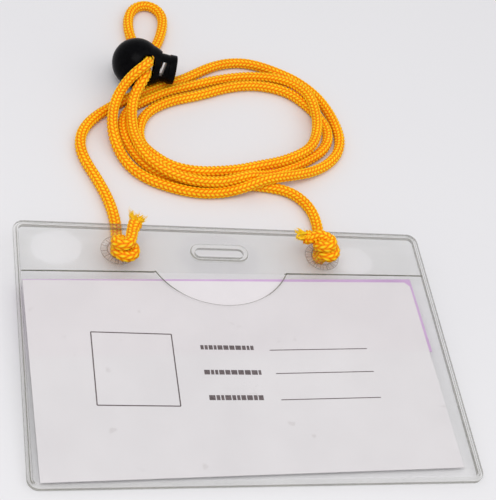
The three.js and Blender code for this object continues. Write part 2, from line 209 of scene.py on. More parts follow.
LEFT_LEAD = [
    (-30.6, 34.6, 1.6), (-30, 38.6), (-29.6, 44.2), (-30.8, 52.9), (-33.5, 61.4), (-36.9, 69.7),
    (-37.8, 75.2), (-36.9, 80), (-34.3, 84.6), (-31, 88.4),
]
OUTER_TURN = [
    (-27.8, 91.1), (-24.3, 94), (-20.5, 96.9), (-16, 99.6), (-12.6, 101.6), (-9.8, 103.5),
    (-4.8, 105.4), (-1, 107.3), (2.4, 110.2), (6, 112.7), (10.2, 115.3), (14.3, 116.7),
    (18.4, 117.4), (22.1, 117.1), (26, 115.7), (30.4, 113.5), (35.3, 110.9), (38.8, 107.4),
    (41.8, 103.6), (43.7, 99.1), (44.9, 95), (45.6, 90.4), (46.1, 86), (45.7, 82), (44.4, 78.2),
    (41.4, 74), (37, 70.3, 1.8), (31.8, 67.1, 2.6), (25.6, 64.4, 3.8), (20, 62.6, 4.4),
    (15.5, 61, 4.4), (10.5, 59.6, 3.4), (6.2, 58.4, 2.1), (1.1, 57.6), (-3.5, 57.3), (-7.9, 58),
    (-11.9, 59.2), (-16.2, 60.9), (-20.4, 63.3), (-23.7, 67.2), (-25.8, 71.8, 1.8),
    (-27.2, 76.4, 2.8), (-27.8, 80.6, 3.8), (-27.4, 85.3, 4.5), (-26.4, 89.8, 4.7),
]
STRAND_A_RISE = [
    (-25.3, 93, 5.1), (-24, 95.4, 6), (-22.8, 96.1, 8.1), (-21.7, 96.1, 10.7), (-20.3, 96.3, 12.7),
    (-19.2, 96.5, 14), (-17.8, 97.1, 14.9),
]
BIGHT_LOOP = [
    (-15.2, 116.6, 3.3), (-16.2, 120.6, 1.8), (-16.9, 125), (-17.4, 130.4), (-17, 135.2),
    (-15.6, 139.6), (-13, 142.6), (-10, 143.7), (-7.1, 142.7), (-5.1, 139.8), (-4.8, 135.2),
    (-6.1, 129.8), (-8.1, 123.6), (-10.2, 119.7), (-12.3, 116.3),
]
STRAND_B_FALL = [
    (-17.5, 95.4, 10.7), (-18.3, 95.1, 9.3), (-19.1, 94.8, 7.4), (-20, 93.8, 6.1),
    (-20.6, 92.2, 5.1),
]
MIDDLE_TURN = [
    (-21, 89.2, 4.5), (-21.4, 84.3, HIGH), (-21.5, 79.1, HIGH), (-20.9, 74.5, HIGH),
    (-19.5, 70.2, HIGH), (-18, 67.3, HIGH), (-15.6, 64.3, HIGH), (-11.8, 62, HIGH),
    (-7.2, 60.2, HIGH), (-3.7, 59.7, HIGH), (0.8, 59.5, HIGH), (4.9, 60, HIGH), (8.7, 61.1, HIGH),
    (12.7, 62.9, 3.8), (17, 65.4, 2.8), (21.4, 67.3, 1.8), (26.5, 69.5), (32.7, 73.4),
    (37.8, 76.6), (41.2, 81.2), (42.8, 85.6), (42.3, 89), (40.9, 92.5), (39.2, 96), (36.9, 100),
    (33, 104.2), (28.3, 105.9), (25, 106.5), (20.9, 106.8), (17.5, 106.2), (10.7, 104.2),
    (5.4, 101.4), (-0.8, 98.9), (-6.4, 97.3), (-9.2, 95.7), (-12.6, 93.6), (-15.8, 90.8),
    (-17.6, 87.8), (-19, 83.7), (-19.6, 79), (-19.2, 75, 2.4),
]
INNER_TURN = [
    (-17.9, 71.5, 3.6), (-15.7, 68.7, HIGH), (-13.1, 66, HIGH), (-9, 64.4, HIGH),
    (-3.4, 63.7, HIGH), (0.6, 64, HIGH), (5, 64.7, HIGH), (9.4, 65.4, HIGH), (13.1, 66, HIGH),
    (16.4, 67, HIGH), (20.8, 68.6, HIGH), (26.1, 70.8, HIGH), (30.7, 73.5, HIGH), (34.7, 77, HIGH),
    (37.1, 82.5, HIGH), (38.6, 88, HIGH), (39, 92.6, HIGH), (38.6, 96.6, HIGH),
    (37.7, 101.5, HIGH), (35, 105.8, 3.8), (31, 109.2, 2.6), (26.2, 110.9, 1.7), (19.5, 110.6),
    (13.8, 109.2), (8.6, 107.7), (3.4, 105.6), (-0.1, 103.9), (-4.8, 102.3), (-9.8, 100.4),
    (-13.4, 98), (-16.6, 95.6), (-19.2, 93.7), (-21.9, 91.4), (-23.3, 87.7), (-24.1, 83.3),
    (-23.9, 79.5), (-22.7, 75.6), (-21.5, 72.9), (-19.7, 69.3), (-17.3, 66.2), (-13.8, 63.5),
    (-9.5, 62.2), (-4.5, 61.4), (0, 61.3), (5, 61.6), (10, 61.9), (14.5, 61.8), (18.5, 61.3),
]
RIGHT_LEAD = [
    (22, 60.9), (24.8, 60.2), (27.6, 57.5), (29.8, 54), (30.8, 49.2), (30.3, 42.6), (29.4, 37.6),
    (28.5, 34.6, 1.6),
]

# The lock's cross hole, and the two strands side by side in it.
HOLE_X = 3.1 * MM
STRAND_SIDE = 1.6 * MM
HOLE_FRONT = 9.2 * MM
HOLE_BACK = 8.2 * MM
HELD_REACH = 0.5 * MM, 0.4 * MM  # how far off a strand's line a point counts as held by the hole

# What the cord keeps off, in the lock's frame: the ball, and the plunger from its collar out.
BALL_KEEP_OFF = 9.25 * MM
PLUNGER_ENDS = (6, 12.2)
PLUNGER_KEEP_OFF = 5.8 * MM


def through_lock(side, forwards):
    """Points along the lock's cross hole, on strand A's side (+1) or strand B's side (-1)."""
    along = np.linspace(-HOLE_FRONT, HOLE_BACK, 7)
    if not forwards:
        along = along[::-1]
    return in_lock([(HOLE_X, y, side * STRAND_SIDE) for y in along])


OWN_REACH = 2.2  # contact distances along the cord within which it doesn't push on itself
WATCH_REACH = 3  # contact distances within which two points are watched for touching
EASING, STRETCHING, PUSHING = 0.3, 0.25, 0.3  # the share of each correction made in a round


def settled(route, held, contact, floor=-math.inf, rods=(), pull=0.02, rounds=500):
    """The route after its strands push each other apart, rest on the floor and keep their length.

    rods are the (start, end, radius) that it keeps off.
    """
    points = route.copy()
    steps = np.linalg.norm(np.diff(route, axis=0), axis=1)
    skip = int(OWN_REACH * contact / steps.mean())
    first, second = np.triu_indices(len(points), k=skip)
    near = np.linalg.norm(points[first] - points[second], axis=1) < WATCH_REACH * contact
    first, second = first[near], second[near]
    for _ in range(rounds):
        points += (route - points) * pull
        points[1:-1] += (0.5 * (points[:-2] + points[2:]) - points[1:-1]) * EASING
        span = np.diff(points, axis=0)
        length = np.linalg.norm(span, axis=1, keepdims=True)
        stretch = span * (1 - steps[:, None] / length) * STRETCHING
        points[:-1] += stretch
        points[1:] -= stretch
        apart = points[first] - points[second]
        distance = np.linalg.norm(apart, axis=1, keepdims=True)
        push = apart / distance * np.clip(contact - distance, 0, None) * PUSHING
        np.add.at(points, first, push)
        np.add.at(points, second, -push)
        for line_start, line_end, radius in rods:
            axis = line_end - line_start
            share = np.clip((points - line_start) @ axis / max(axis @ axis, 1e-12), 0, 1)
            out = points - (line_start + share[:, None] * axis)
            distance = np.linalg.norm(out, axis=1, keepdims=True)
            points += out / distance * np.clip(radius - distance, 0, None)
        points[:, 2] = np.maximum(points[:, 2], floor)
        points[held] = route[held]
    return points


def in_metres(part):
    """A stretch of the route in metres, its flat points given their height."""
    return np.array([point if len(point) == 3 else (*point, LOW) for point in part]) * MM


def held_by_lock(route):
    """Which points of the route are inside the lock's hole."""
    off_hole = (route - LOCK_AT) @ np.array([LOCK_X, LOCK_Y, LOCK_Z]).T - (HOLE_X, 0, 0)
    held = np.abs(off_hole[:, 0]) < HELD_REACH[0]
    held &= np.abs(np.abs(off_hole[:, 2]) - STRAND_SIDE) < HELD_REACH[1]
    return held & (off_hole[:, 1] > -HOLE_FRONT) & (off_hole[:, 1] < HOLE_BACK)


def cord_path():
    """The cord from under the left eyelet, through its turns and the lock, to the right one."""
    before = in_metres(LEFT_LEAD + OUTER_TURN + STRAND_A_RISE)
    after = in_metres(STRAND_B_FALL + MIDDLE_TURN + INNER_TURN + RIGHT_LEAD)
    loop = in_metres(BIGHT_LOOP)
    parts = [before, through_lock(1, True), loop, through_lock(-1, False), after]
    route = spline(np.concatenate(parts), ROUTE_STEP)
    held = held_by_lock(route)
    held[[0, 1, -2, -1]] = True
    ball = (LOCK_AT, LOCK_AT + LOCK_X * 1e-5, BALL_KEEP_OFF)
    ends = [LOCK_AT + LOCK_X * x * MM for x in PLUNGER_ENDS]
    plunger = (*ends, PLUNGER_KEEP_OFF)
    path = settled(route, held, CORD_CONTACT, floor=CORD_REST, rods=(ball, plunger))
    for _ in range(SMOOTHING_PASSES):
        path[1:-1] += (path[:-2] + path[2:] - 2 * path[1:-1]) / 4
    return evenly(path, ROUTE_STEP)


# ---- Braid ----

BRAID_COLUMNS = 8
BRAID_PITCH = 1.35 * MM
RINGS_PER_PITCH = 6
POINTS_PER_COLUMN = 4
STITCH_SLANT = 0.8 * MM
STITCH_RELIEF = 0.32 * MM
STITCH_ROUNDING = 0.8  # below 1, a stitch is fuller than a half wave
STITCH_EDGE = 0.35  # a stitch's height at its column's edge, as a share of its middle's
GROOVE_SHARE = 0.25  # how much of that is left in the groove between two columns
FLARE_LENGTH = 3 * MM


def carried_frames(points):
    """Two directions across the path at each point, carried along it without twisting."""
    tangents = np.gradient(points, axis=0)
    tangents /= np.linalg.norm(tangents, axis=1, keepdims=True)
    start = np.cross(tangents[0], (0.0, 0.0, 1.0))
    if np.linalg.norm(start) < 1e-3:
        start = np.array([1.0, 0.0, 0.0])
    side = start / np.linalg.norm(start)
    sides = []
    for tangent in tangents:
        side = side - tangent * (side @ tangent)
        side = side / np.linalg.norm(side)
        sides.append(side)
    sides = np.array(sides)
    return sides, np.cross(tangents, sides)


def add_relief(piece, values):
    """Stores a relief value for each point, which the braid's material turns into painted shade
    where low and painted highlight where high.
    """
    layer = piece.data.attributes.new("relief", "FLOAT", "POINT")
    layer.data.foreach_set("value", values.astype(np.float32))


def braid_piece(name, path, material, radius, flare=0):
    """A braided cord: zigzag rings of points, raised into slanted stitches in columns round it.

    flare is how much wider its last end is, as a share.
    """
    along = arc_lengths(path)
    sides, ups = carried_frames(path)
    around = BRAID_COLUMNS * POINTS_PER_COLUMN
    rings = int(along[-1] / BRAID_PITCH * RINGS_PER_PITCH)
    ring = np.arange(rings + 1)[:, None]
    point = np.arange(around)[None, :]
    in_pair = (point % (2 * POINTS_PER_COLUMN)) / POINTS_PER_COLUMN
    slant = STITCH_SLANT * (1 - np.abs(in_pair - 1))
    fade = np.clip(np.minimum(ring, rings - ring) / RINGS_PER_PITCH, 0, 1)
    at = np.clip(ring * along[-1] / rings + slant * fade, 0, along[-1])
    column = point // POINTS_PER_COLUMN
    place = (point % POINTS_PER_COLUMN) / POINTS_PER_COLUMN
    phase = ((ring + (column % 2) * RINGS_PER_PITCH // 2) % RINGS_PER_PITCH) / RINGS_PER_PITCH
    across = STITCH_EDGE + (1 - STITCH_EDGE) * np.sin(np.pi * place)
    bulge = np.sin(np.pi * phase) ** STITCH_ROUNDING * across
    relief = np.where(point % POINTS_PER_COLUMN == 0, GROOVE_SHARE * bulge, bulge)
    size = radius * np.interp(at, [0, along[-1] - FLARE_LENGTH, along[-1]], [1, 1, 1 + flare])
    distance = size - STITCH_RELIEF * (1 - relief)
    angle = 2 * np.pi * point / around + 0 * ring

    def sample(values):
        return np.stack([np.interp(at, along, values[:, axis]) for axis in range(3)], axis=-1)

    offset = np.cos(angle)[..., None] * sample(sides) + np.sin(angle)[..., None] * sample(ups)
    vertices = (sample(path) + distance[..., None] * offset).reshape(-1, 3)
    faces = grid_faces(rings + 1, around)[:, ::-1].tolist()
    faces.append(list(range(around)))
    faces.append(list(range(rings * around, (rings + 1) * around))[::-1])
    piece = new_piece(name, vertices, faces, material)
    add_relief(piece, relief.reshape(-1))
    return piece


# ---- Materials ----


class Nodes:
    """A short way to write a material's nodes."""

    def __init__(self, name):
        self.material = bpy.data.materials.new(name)
        self.material.use_nodes = True
        self.tree = self.material.node_tree
        self.surface = self.tree.nodes["Principled BSDF"]

    def add(self, kind, **values):
        node = self.tree.nodes.new(kind)
        for key, value in values.items():
            if key in node.bl_rna.properties:
                setattr(node, key, value)
            else:
                node.inputs[key.replace("_", " ")].default_value = value
        return node

    def join(self, output, target):
        self.tree.links.new(output, target)

    def feed(self, socket, output):
        """Joins an output to one of the surface's own sockets."""
        self.join(output, self.surface.inputs[socket])

    def set(self, **values):
        """Sets constants on the surface's own sockets."""
        for key, value in values.items():
            self.surface.inputs[key.replace("_", " ")].default_value = value

    def place(self):
        return self.add("ShaderNodeTexCoord").outputs["Object"]

    def noise(self, scale, detail=3.0, roughness=0.5):
        node = self.add("ShaderNodeTexNoise", Scale=scale, Detail=detail, Roughness=roughness)
        self.join(self.place(), node.inputs["Vector"])
        return node.outputs["Fac"]

    def ramp(self, factor, *stops):
        node = self.add("ShaderNodeValToRGB")
        elements = node.color_ramp.elements
        while len(elements) < len(stops):
            elements.new(0.5)
        for element, (position, colour) in zip(elements, stops):
            element.position = position
            element.color = (*colour, 1.0)
        self.join(factor, node.inputs["Fac"])
        return node.outputs["Color"]

    def mottle(self, low, high, *noise):
        """A colour that wanders between low and high."""
        return self.ramp(self.noise(*noise), (0.3, low), (0.7, high))

    def greys(self, factor, *stops):
        """A ramp of single values, for a roughness or a mask."""
        return self.ramp(factor, *((position, (value,) * 3) for position, value in stops))

    def math(self, operation, *values):
        node = self.add("ShaderNodeMath", operation=operation)
        for socket, value in zip(node.inputs, values):
            if isinstance(value, (int, float)):
                socket.default_value = value
            else:
                self.join(value, socket)
        return node.outputs[0]

    def blend(self, factor, first, second, mode="MIX"):
        node = self.add("ShaderNodeMix", data_type="RGBA", blend_type=mode)
        inputs = node.inputs
        for socket, value in ((inputs[0], factor), (inputs[6], first), (inputs[7], second)):
            if hasattr(value, "is_linked"):
                self.join(value, socket)
            elif isinstance(value, (int, float)):
                socket.default_value = value
            else:
                socket.default_value = (*value, 1.0)
        return node.outputs[2]

    def bump(self, height, strength, distance):
        node = self.add("ShaderNodeBump", Strength=strength, Distance=distance)
        self.join(height, node.inputs["Height"])
        self.join(node.outputs["Normal"], self.surface.inputs["Normal"])


def braid_material():
    nodes = Nodes("orange_braid")
    relief = nodes.add("ShaderNodeAttribute", attribute_name="relief").outputs["Fac"]
    # Painted shade and highlight: the ramp darkens the grooves to red-orange and lightens the
    # stitch tops to pale yellow.
    colour = nodes.ramp(
        relief,
        (0.0, (0.88, 0.11, 0.0)),
        (0.3, (1.0, 0.34, 0.0)),
        (0.65, (1.0, 0.54, 0.0)),
        (1.0, (1.0, 0.8, 0.04)),
    )
    patches = nodes.noise(160.0, 2.0)
    warm = nodes.ramp(patches, (0.35, (0.96, 0.88, 0.8)), (0.65, (1.0, 1.0, 1.0)))
    colour = nodes.blend(1.0, colour, warm, mode="MULTIPLY")
    nodes.feed("Base Color", colour)
    fibres = nodes.noise(5200.0, 2.0)
    nodes.feed("Roughness", nodes.greys(fibres, (0.3, 0.5), (0.7, 0.72)))
    nodes.bump(fibres, 0.35, 0.00008)
    nodes.set(Specular_IOR_Level=0.12, Sheen_Weight=0.04, Sheen_Roughness=0.4)
    nodes.surface.inputs["Sheen Tint"].default_value = (1.0, 0.75, 0.2, 1.0)
    return nodes.material


def settle_in(piece, body, finish, *nodes):
    """Puts a piece on a body and hides the CAD nodes that it stands for; finish is not used."""
    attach(piece, body)
    if nodes:
        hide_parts(*nodes)
    return piece


# ---- Knots and frayed tails ----

EYELET_Y = 73 * MM
EYELETS = {"left": -30.6 * MM, "right": 28.2 * MM}
KNOT_STEP = 0.4 * MM
KNOT_CONTACT = 2.9 * MM  # pulled tight, its strands press into each other a little
KNOT_FLOOR = 1.5 * MM  # the lowest that a strand's middle lies over the header
KNOT_HELD_END = 4
KNOT_RADIUS, TAIL_FLARE = 1.75 * MM, 0.22

# Points from the cord's end, up through the eyelet and round the knot, in millimetres from the
# eyelet's middle: across the header, up it, and over its underside.
KNOT_ENTRY = [(0, 2.7, -1.95), (0, 1.5, -1.7), (0, 0.5, -0.8), (0, 0.1, 0.5), (0, -0.1, 1.6)]
KNOT_ROUTES = {
    "left": [
        (-0.8, -0.9, 2.8), (-1.1, -2.4, 3.4), (0.1, -3.9, 3.5), (2, -4.3, 3.3), (3.9, -3.1, 3.1),
        (4.2, -0.9, 3.1), (2.5, 0.6, 3), (0.2, 1, 3.6), (-1.6, -0.1, 5), (-1.2, -2.2, 6.1),
        (0.7, -2.9, 6.6), (2.4, -1.5, 6.3), (2.6, 0.8, 5.3), (3.2, 2.8, 4.9), (3.9, 4.6, 5.1),
        (4.6, 6, 5.5),
    ],
    "right": [
        (-0.6, -0.3, 2.8), (-0.5, -1.5, 3.4), (0.9, -2.2, 3.4), (2.8, -1.4, 3.3), (3.6, 0.6, 3.2),
        (2.9, 2.7, 3.1), (1, 3.7, 3.1), (-1.1, 3, 3.6), (-2.1, 1.1, 4.9), (-0.9, -0.8, 6),
        (1.2, -0.6, 6.5), (2.1, 1.4, 6.3), (0.6, 2.9, 5.9), (-1.2, 3.2, 5.1), (-2.8, 3.5, 4.6),
        (-4.2, 3.9, 4.4), (-5.3, 4.2, 4.4),
    ],
}
# Bundles of loose yarn at each tail's end: how far each reaches, in the same directions.
FRAYS = {
    "left": [((-1, 2.9, 0.6), 14), ((2.2, 1.3, 0.3), 14), ((0.4, 1.6, 0.9), 8)],
    "right": [((-1.6, 1.5, 0.5), 12), ((-1.9, -0.5, -0.2), 12), ((-1.3, 0.5, 0.8), 6)],
}


def knot_path(side):
    """The cord from its entry under the eyelet to its cut end, in the pocket's directions."""
    middle = np.array([EYELETS[side], EYELET_Y, 0])
    relative = spline(np.array(KNOT_ENTRY + KNOT_ROUTES[side]) * MM, KNOT_STEP)
    held = np.zeros(len(relative), dtype=bool)
    held[: int(arc_lengths(np.array(KNOT_ENTRY) * MM)[-1] / KNOT_STEP)] = True
    held[-KNOT_HELD_END:] = True
    tight = settled(relative, held, KNOT_CONTACT, pull=0.012, rounds=400)
    tight[~held, 2] = np.maximum(tight[~held, 2], KNOT_FLOOR)
    return middle + tight


def soft_tube(points, radii, sides):
    """Vertices and faces of a closed tube whose radius changes along its points."""
    across, up = carried_frames(points)
    angle = 2 * np.pi * np.arange(sides) / sides
    ring = np.cos(angle)[:, None] * across[:, None, :] + np.sin(angle)[:, None] * up[:, None, :]
    vertices = (points[:, None, :] + np.asarray(radii)[:, None, None] * ring).reshape(-1, 3)
    faces = grid_faces(len(points), sides)[:, ::-1].tolist()
    faces.append(list(range(sides)))
    faces.append(list(range(len(vertices) - sides, len(vertices)))[::-1])
    return vertices, faces


def joined(parts):
    """One list of vertices and faces from several."""
    vertices, faces, count = [], [], 0
    for part_vertices, part_faces in parts:
        vertices.append(part_vertices)
        faces.extend([[index + count for index in face] for face in part_faces])
        count += len(part_vertices)
    return np.concatenate(vertices), faces


# What a bundle frays into: how many to each of its yarns, their radius, how much further than the
# bundle they reach, and their tubes' sides.
YARN = (1, 0.34 * MM, 1.0, 6)
FIBRE = (3, 0.07 * MM, 1.25, 4)
ROOT_DEPTH, ROOT_SPREAD, END_SPREAD, MIDDLE_SPREAD = 0.9 * MM, 0.42 * MM, 0.5 * MM, 0.22 * MM
STRAND_BOW, STRAND_STEP = 0.35 * MM, 0.3 * MM


def loose_strand(tip, direction, reach, radius, sides):
    """One yarn or fibre, from inside a tail's cut end out to about as far as reach."""
    spread = rng.normal(0, ROOT_SPREAD, 3)
    root = tip - direction * ROOT_DEPTH + 1.6 * spread
    length = rng.uniform(0.65, 1.15)
    end = tip + reach * length + rng.normal(0, END_SPREAD, 3)
    middle = (root + end) / 2 + direction * STRAND_BOW + rng.normal(0, MIDDLE_SPREAD, 3)
    line = spline([root, middle, end], STRAND_STEP)
    taper = np.interp(np.linspace(0, 1, len(line)), [0, 0.7, 1], [1, 0.85, 0.3])
    return soft_tube(line, radius * taper, sides)


def frayed_end(name, path, bundles, material):
    """Loose yarns and fine fibres that spread from the cut end of a tail."""
    tip = path[-1]
    direction = path[-1] - path[-6]
    direction /= np.linalg.norm(direction)
    parts = []
    for reach, yarns in bundles:
        for share, radius, further, sides in (YARN, FIBRE):
            for _ in range(share * yarns):
                far = np.array(reach) * MM * further
                parts.append(loose_strand(tip, direction, far, radius, sides))
    vertices, faces = joined(parts)
    piece = new_piece(name, on_pocket(vertices), faces, material)
    # Painted highlight: relief values near 0.8 give the loose yarns the ramp's pale, highlighted
    # colours.
    add_relief(piece, np.clip(0.8 + rng.normal(0, 0.12, len(vertices)), 0, 1))
    return piece


# ---- Cord and knots ----

BRAID = braid_material()


def make_knot(side):
    path = knot_path(side)
    knot = braid_piece(f"end_knot_{side}", on_pocket(path), BRAID, KNOT_RADIUS, TAIL_FLARE)
    settle_in(knot, "holder", "orange_braid", f"knot_{side}")
    tail = frayed_end(f"frayed_tail_{side}", path, FRAYS[side], BRAID)
    settle_in(tail, "holder", "orange_braid", f"tail_{side}")
    return [knot, tail]


def make_cord(pieces_on_it):
    path = cord_path()
    cord = braid_piece("neck_cord", path, BRAID, CORD_VISUAL_R)
    settle_in(cord, "holder", "orange_braid", "cord_left_lead", "cord_coil", "cord_strand_a",
              "cord_bight", "cord_strand_b", "cord_right_lead")


# ---- Clear vinyl and plastic ----


def spot(nodes, at, size):
    """1 well inside an oval patch on the pocket and 0 outside it, with a wandering soft edge."""
    middle = on_pocket([(at[0] * MM, at[1] * MM, 0)])[0]
    half = (size[0] * MM, size[1] * MM, 1)
    oval = nodes.add("ShaderNodeMapping", vector_type="TEXTURE", Location=middle, Scale=half)
    nodes.join(nodes.place(), oval.inputs["Vector"])
    length = nodes.add("ShaderNodeVectorMath", operation="LENGTH")
    nodes.join(oval.outputs[0], length.inputs[0])
    wander = nodes.math("MULTIPLY", nodes.noise(140.0, 2.0), 0.35)
    reach = nodes.math("MULTIPLY", nodes.math("ADD", length.outputs["Value"], wander), 0.5)
    return nodes.greys(reach, (0.54, 1.0), (0.58, 0.0))


def clear_material(name, tint, alpha, spots=()):
    """Thin clear plastic: nearly invisible face on, a little cloudy, glossy."""
    nodes = Nodes(name)
    clouds = nodes.noise(45.0, 3.0)
    colour = nodes.ramp(clouds, (0.35, tuple(0.75 * c for c in tint)), (0.65, tint))
    # The patches paint a paler or duller grey where the plies touch, standing in for how light
    # crosses them there.
    for at, size, shade in spots:
        colour = nodes.blend(spot(nodes, at, size), colour, (shade,) * 3)
    nodes.feed("Base Color", colour)
    gloss = nodes.noise(300.0, 3.0)
    nodes.feed("Roughness", nodes.greys(gloss, (0.3, 0.05), (0.7, 0.14)))
    nodes.bump(nodes.noise(90.0, 2.0), 0.12, 0.0002)
    nodes.set(IOR=1.5, Alpha=alpha)
    return nodes.material


# Patches of painted light on the header where the plies touch and let light through differently:
# their middle, half their size in millimetres, and their grey. A paler one is beside each eyelet,
# and a duller one is round the slot.
PLY_CONTACT_LIGHT_PATCHES = (
    ((-47.5, 73.6), (7.5, 6), 1.0),
    ((-2.4, 71.8), (12.5, 8.5), 0.04),
    ((38, 72), (6, 5), 0.9),
)

BACK_VINYL = clear_material("clear_vinyl_back", (0.5, 0.5, 0.47), 0.016)
HEADER_VINYL = clear_material("clear_vinyl_header", (0.38, 0.39, 0.32), 0.055, PLY_CONTACT_LIGHT_PATCHES)
FRONT_VINYL = clear_material("clear_vinyl_front", (0.46, 0.46, 0.43), 0.034)
EDGE_VINYL = clear_material("welded_vinyl", (0.6, 0.6, 0.54), 0.08)
# Painted shade: dark, fairly opaque lines at cut edges, ridges and grooves, standing in for the
# shade that refraction draws there.
SHADE_LINE_VINYL = clear_material("vinyl_shade_line", (0.2, 0.195, 0.14), 0.6)
CLEAR_PLASTIC = clear_material("clear_plastic", (0.6, 0.5, 0.42), 0.06)
# Painted shade: the same kind of dark lines for the clear plastic's edges and rib sides.
PLASTIC_SHADE_LINE = clear_material("clear_plastic_shade_line", (0.26, 0.19, 0.14), 0.55)

SHEET_CELL = 2.5 * MM
FOLD_ANGLE = math.radians(40)


def to_pocket(points):
    """Row-frame points as pocket points: the reverse of on_pocket."""
    cos, sin = math.cos(POCKET_TILT), math.sin(POCKET_TILT)
    y, z = points[:, 1] - POCKET_FOOT_Y, points[:, 2]
    return np.stack([points[:, 0], y * cos + z * sin, z * cos - y * sin], axis=1)


def supple_sheet(name, node, material, lift=None):
    """A CAD sheet cut into small cells and lifted a little, as a welded vinyl ply is never flat."""
    mesh = bmesh.new()
    mesh.from_mesh(frame["nodes"][node].data)
    points = to_pocket(np.array([vertex.co for vertex in mesh.verts]))
    for vertex, point in zip(mesh.verts, points):
        vertex.co = point
    bmesh.ops.remove_doubles(mesh, verts=mesh.verts, dist=1e-6)
    bmesh.ops.dissolve_limit(mesh, angle_limit=0.02, verts=mesh.verts, edges=mesh.edges)
    low, high = points.min(axis=0), points.max(axis=0)
    for axis, normal in enumerate(np.eye(3)[:2]):
        for at in np.arange(low[axis] + SHEET_CELL, high[axis] - 0.2 * SHEET_CELL, SHEET_CELL):
            geometry = mesh.verts[:] + mesh.edges[:] + mesh.faces[:]
            bmesh.ops.bisect_plane(
                mesh, geom=geometry, plane_co=at * normal, plane_no=normal, dist=1e-7
            )
    bmesh.ops.triangulate(mesh, faces=mesh.faces)
    points = np.array([vertex.co for vertex in mesh.verts])
    if lift:
        points[:, 2] += lift(points[:, 0], points[:, 1])
    for vertex, point in zip(mesh.verts, on_pocket(points)):
        vertex.co = point
    piece = as_object(name, mesh, material)
    piece.data.shade_smooth()
    piece.data.set_sharp_from_angle(angle=FOLD_ANGLE)
    return settle_in(piece, "holder", "clear_vinyl", node)


def swell(value, low, high):
    """0 at the two ends of a stretch and 1 at its middle."""
    share = np.clip((value - low) / (high - low), 0, 1)
    return np.sin(np.pi * share)


CARD_SWELL, CARD_RIPPLE, CARD_SWELL_TOP = 0.28 * MM, 0.1 * MM, 95 * MM
HEADER_RIPPLE, HEADER_FOOT = 0.16 * MM, 64 * MM


def front_lift(x, y):
    """The front ply bulges over the card, with a slow ripple."""
    half = POCKET_W / 2
    over_card = swell(x, -half, half) ** 0.5 * swell(y, 0, CARD_SWELL_TOP) ** 0.5
    ripples = np.sin(x * 130 + 1.2) * np.sin(y * 170 + x * 60)
    return over_card * (CARD_SWELL + CARD_RIPPLE * ripples)


def header_lift(x, y):
    """The header ripples between its lower edge and the pocket's top."""
    half = POCKET_W / 2
    ripples = 0.5 + 0.5 * np.sin(x * 210 + 0.7) * np.sin(y * 260 + x * 90 + 1.0)
    return swell(x, -half, half) ** 0.4 * swell(y, HEADER_FOOT, POCKET_H) * HEADER_RIPPLE * ripples


def rounded_loop(width, height, radius, middle, per_corner=10, spacing=3 * MM):
    """Points and outward directions round a rounded rectangle."""
    points, normals = [], []
    corners = [(1, 1, 0), (-1, 1, 90), (-1, -1, 180), (1, -1, 270)]
    for sign_x, sign_y, start in corners:
        centre = np.array([sign_x * (width / 2 - radius), sign_y * (height / 2 - radius)])
        for step in range(per_corner + 1):
            angle = math.radians(start + 90 * step / per_corner)
            normal = np.array([math.cos(angle), math.sin(angle)])
            points.append(centre + radius * normal)
            normals.append(normal)
    points, normals = np.array(points), np.array(normals)
    filled, directions = [], []
    for index in range(len(points)):
        after = (index + 1) % len(points)
        span = np.linalg.norm(points[after] - points[index])
        for share in np.linspace(0, 1, max(1, int(span / spacing)), endpoint=False):
            filled.append(points[index] * (1 - share) + points[after] * share)
            directions.append(normals[index])
    return np.array(filled) + middle, np.array(directions)


LOWER_SIDE = -0.7


def swept_loop(name, loop, normals, profile, dark, quiet_below=()):
    """A closed band: a profile of (distance inwards, height) carried round a loop on the pocket.

    dark lists the profile's segments painted as dark shade lines, such as cut edges and a groove's
    sides. Those in quiet_below are left unpainted along the loop's lower side.
    """
    profile = np.array(profile) * MM
    points = loop[:, None, :] - normals[:, None, :] * profile[None, :, 0, None]
    heights = np.broadcast_to(profile[None, :, 1, None], (*points.shape[:2], 1))
    vertices = np.concatenate([points, heights], axis=2).reshape(-1, 3)
    faces = grid_faces(len(loop), len(profile), close_rows=True)
    band = new_piece(name, on_pocket(vertices), faces.tolist(), EDGE_VINYL)
    band.data.materials.append(SHADE_LINE_VINYL)
    segments = np.arange(len(profile))[None, :]
    below = normals[:, 1, None] < LOWER_SIDE
    line = np.isin(segments, dark) & ~(below & np.isin(segments, quiet_below))
    band.data.polygons.foreach_set("material_index", line.reshape(-1).astype(np.int32))
    return band


# The welded edge's section: a flat outer lip, two pressed ridges and a groove between them.
BORDER_PROFILE = [
    (0.02, 0.32), (0.0, 0.5), (0.0, 1.15), (0.06, 1.38), (0.22, 1.58), (0.42, 1.62), (0.6, 1.45),
    (0.74, 1.12), (0.86, 1.1), (0.98, 1.42), (1.12, 1.6), (1.28, 1.6), (1.42, 1.4), (1.5, 1.05),
    (1.5, 0.32),
]
# Segments painted as dark shade lines; the inner ones stay plain along the pocket's bottom.
INNER_BORDER_LINES = (7, 8, 12, 13)
BORDER_LINES = (1, 2, *INNER_BORDER_LINES)
BORDER_CORNER = 3 * MM

# The strap slot's rim: its outline, and a section that is round at both edges.
RIM_W, RIM_H, RIM_MIDDLE_Y = 16.8 * MM, 5.8 * MM, 73.2 * MM
# Segments of the rim painted as dark shade lines.
SLOT_LINES = (1, 2, 8)
SLOT_PROFILE = [
    (0.0, 0.0), (0.0, 0.75), (0.1, 1.0), (0.3, 1.16), (0.55, 1.2), (0.85, 1.12), (1.1, 1.2),
    (1.3, 1.1), (1.4, 0.9), (1.4, 0.0),
]


